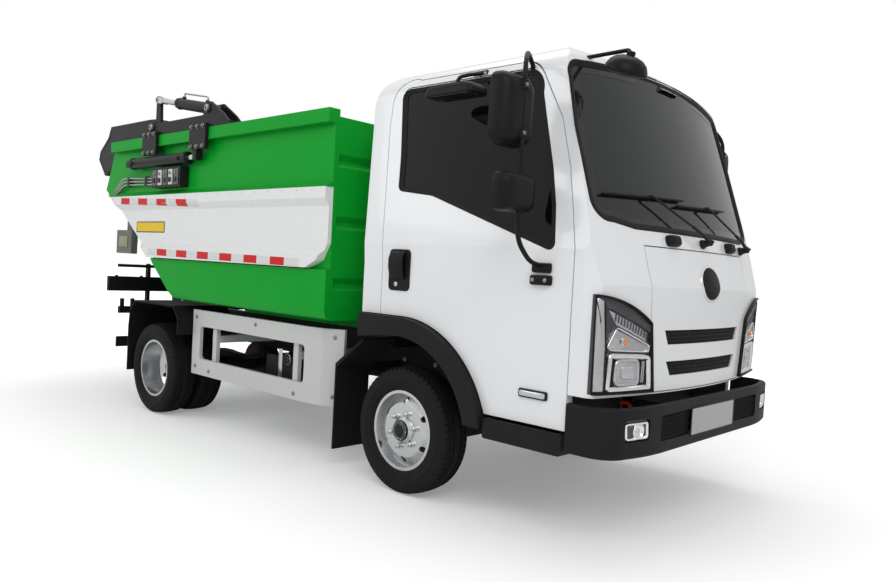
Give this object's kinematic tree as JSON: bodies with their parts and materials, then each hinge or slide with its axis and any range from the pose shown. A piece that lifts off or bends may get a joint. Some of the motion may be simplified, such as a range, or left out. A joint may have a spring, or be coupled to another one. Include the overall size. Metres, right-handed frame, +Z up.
{
  "type": "garbage truck",
  "caption": "Small cab-over garbage truck with a tipping open waste tub, a sliding carriage with a swinging compacting blade, twin rear wheels and a tilting cab.",
  "frame": {"origin": "centre of the bounding box's footprint, on the ground under the tyres", "axes": "+X forward along the vehicle, +Y to its left, +Z up"},
  "size_m": [5.3846, 2.39, 2.4398],
  "materials": {
    "white_paint": "gloss paint",
    "green_paint": "gloss paint",
    "grey_steel": "satin paint",
    "dark_steel": "satin paint",
    "chromed_rod": "polished",
    "guard_white": "satin paint",
    "dark_plastic": "grained",
    "seat_cloth": "woven",
    "dark_glass": "tinted",
    "lamp_glass": "clear lens",
    "tyre_rubber": "matt",
    "polished_rim": "polished"
  },
  "bodies": {
    "chassis": {"chassis_frame": "dark_steel", "engine_block": "dark_steel", "drive_shaft": "dark_steel", "axles": "dark_steel", "leaf_springs": "dark_steel", "front_bumper": "dark_plastic", "fog_lamps": "lamp_glass", "side_guards": "guard_white", "rear_mudguards": "dark_plastic", "front_mud_flaps": "dark_plastic", "chassis_tanks": "dark_steel", "pivot_stands": "grey_steel", "underrun_guard": "grey_steel"},
    "bin_comb": {"bin_comb": "grey_steel"},
    "lift_barrel": {"lift_barrel": "dark_steel"},
    "lift_stage": {"lift_stage": "chromed_rod"},
    "lift_rod": {"lift_rod": "chromed_rod"},
    "cab": {"cab_shell": "white_paint", "cab_floor": "dark_steel", "cab_glass": "dark_glass", "headlamps": "lamp_glass", "flares_and_steps": "dark_plastic", "dashboard": "dark_plastic", "seats": "seat_cloth", "steering_wheel": "dark_plastic", "front_mirror": "dark_plastic"},
    "front_lid": {"front_lid": "white_paint", "grille_mesh": "dark_plastic"},
    "door_right": {"door_right": "white_paint", "door_glass_right": "dark_glass", "mirrors_right": "dark_plastic"},
    "door_left": {"door_left": "white_paint", "door_glass_left": "dark_glass", "mirrors_left": "dark_plastic"},
    "tub": {"tub_shell": "green_paint", "tub_side_panels": "white_paint", "tub_rails": "green_paint", "slide_barrels": "dark_steel", "valve_block": "grey_steel", "tail_lamps": "grey_steel"},
    "carriage": {"carriage": "green_paint", "slide_rods": "chromed_rod"},
    "blade": {"push_blade": "green_paint"},
    "blade_barrels": {"blade_barrels": "dark_steel"},
    "blade_rods": {"blade_rods": "chromed_rod"},
    "knuckle_right": {"knuckle_right": "dark_steel"},
    "knuckle_left": {"knuckle_left": "dark_steel"},
    "wheel_front_right": {"front_tyre_right": "tyre_rubber", "front_rim_right": "polished_rim"},
    "wheel_front_left": {"front_tyre_left": "tyre_rubber", "front_rim_left": "polished_rim"},
    "wheels_rear_right": {"rear_tyres_right": "tyre_rubber", "rear_rims_right": "polished_rim"},
    "wheels_rear_left": {"rear_tyres_left": "tyre_rubber", "rear_rims_left": "polished_rim"}
  },
  "joints": [
    {"name": "steer_right", "type": "hinge", "parent": "chassis", "child": "knuckle_right", "pos_m": [1.342, -0.64, 0.345], "axis": [0, 0, 1], "range_deg": [-35, 35]},
    {"name": "steer_left", "type": "hinge", "parent": "chassis", "child": "knuckle_left", "pos_m": [1.342, 0.64, 0.345], "axis": [0, 0, 1], "range_deg": [-35, 35]},
    {"name": "spin_front_right", "type": "hinge", "parent": "knuckle_right", "child": "wheel_front_right", "pos_m": [1.342, -0.7925, 0.345], "axis": [0, 1, 0], "continuous": true},
    {"name": "spin_front_left", "type": "hinge", "parent": "knuckle_left", "child": "wheel_front_left", "pos_m": [1.342, 0.7925, 0.345], "axis": [0, 1, 0], "continuous": true},
    {"name": "spin_rear_right", "type": "hinge", "parent": "chassis", "child": "wheels_rear_right", "pos_m": [-1.308, -0.7725, 0.345], "axis": [0, 1, 0], "continuous": true},
    {"name": "spin_rear_left", "type": "hinge", "parent": "chassis", "child": "wheels_rear_left", "pos_m": [-1.308, 0.7725, 0.345], "axis": [0, 1, 0], "continuous": true},
    {"name": "cab_tilt", "type": "hinge", "parent": "chassis", "child": "cab", "pos_m": [2.545, 0, 0.752], "axis": [0, 1, 0], "range_deg": [0, 40]},
    {"name": "lid_swing", "type": "hinge", "parent": "cab", "child": "front_lid", "pos_m": [2.597, 0, 1.388], "axis": [0, -1, 0], "range_deg": [0, 60]},
    {"name": "door_swing_right", "type": "hinge", "parent": "cab", "child": "door_right", "pos_m": [2.405, -0.908, 1.3], "axis": [0, 0, 1], "range_deg": [0, 70]},
    {"name": "door_swing_left", "type": "hinge", "parent": "cab", "child": "door_left", "pos_m": [2.405, 0.908, 1.3], "axis": [0, 0, -1], "range_deg": [0, 70]},
    {"name": "tub_tip", "type": "hinge", "parent": "chassis", "child": "tub", "pos_m": [-1.733, 0, 1.127], "axis": [0, -1, 0], "range_deg": [0, 45]},
    {"name": "lift_swing", "type": "hinge", "parent": "chassis", "child": "lift_barrel", "pos_m": [-0.6, 0, 0.64], "axis": [0, -1, 0], "range_deg": [0, 62]},
    {"name": "lift_stage_slide", "type": "slide", "parent": "lift_barrel", "child": "lift_stage", "axis": [0.9716, 0, 0.2368], "range_m": [0, 0.445]},
    {"name": "lift_rod_slide", "type": "slide", "parent": "lift_stage", "child": "lift_rod", "axis": [0.9716, 0, 0.2368], "range_m": [0, 0.445]},
    {"name": "carriage_slide", "type": "slide", "parent": "tub", "child": "carriage", "axis": [1, 0, 0], "range_m": [0, 0.78]},
    {"name": "blade_swing", "type": "hinge", "parent": "carriage", "child": "blade", "pos_m": [-1.45, 0, 2.19], "axis": [0, 1, 0], "range_deg": [0, 62]},
    {"name": "blade_barrel_swing", "type": "hinge", "parent": "carriage", "child": "blade_barrels", "pos_m": [-0.629, 0, 2.257], "axis": [0, -1, 0], "range_deg": [0, 7]},
    {"name": "blade_rod_slide", "type": "slide", "parent": "blade_barrels", "child": "blade_rods", "axis": [-0.9834, 0, 0.1817], "range_m": [-0.215, 0]},
    {"name": "comb_swing", "type": "hinge", "parent": "chassis", "child": "bin_comb", "pos_m": [-2.223, 0, 1.103], "axis": [0, 1, 0], "range_deg": [0, 40]}
  ],
  "couplings": [
    {"joint": "steer_left", "follows": "steer_right", "ratio": 1},
    {"joint": "lift_swing", "follows": "tub_tip", "ratio": 1.363},
    {"joint": "lift_stage_slide", "follows": "tub_tip", "m_per_rad": 0.56135},
    {"joint": "lift_rod_slide", "follows": "tub_tip", "m_per_rad": 0.56135},
    {"joint": "blade_barrel_swing", "follows": "blade_swing", "ratio": 0.10667},
    {"joint": "blade_rod_slide", "follows": "blade_swing", "m_per_rad": -0.19457}
  ]
}
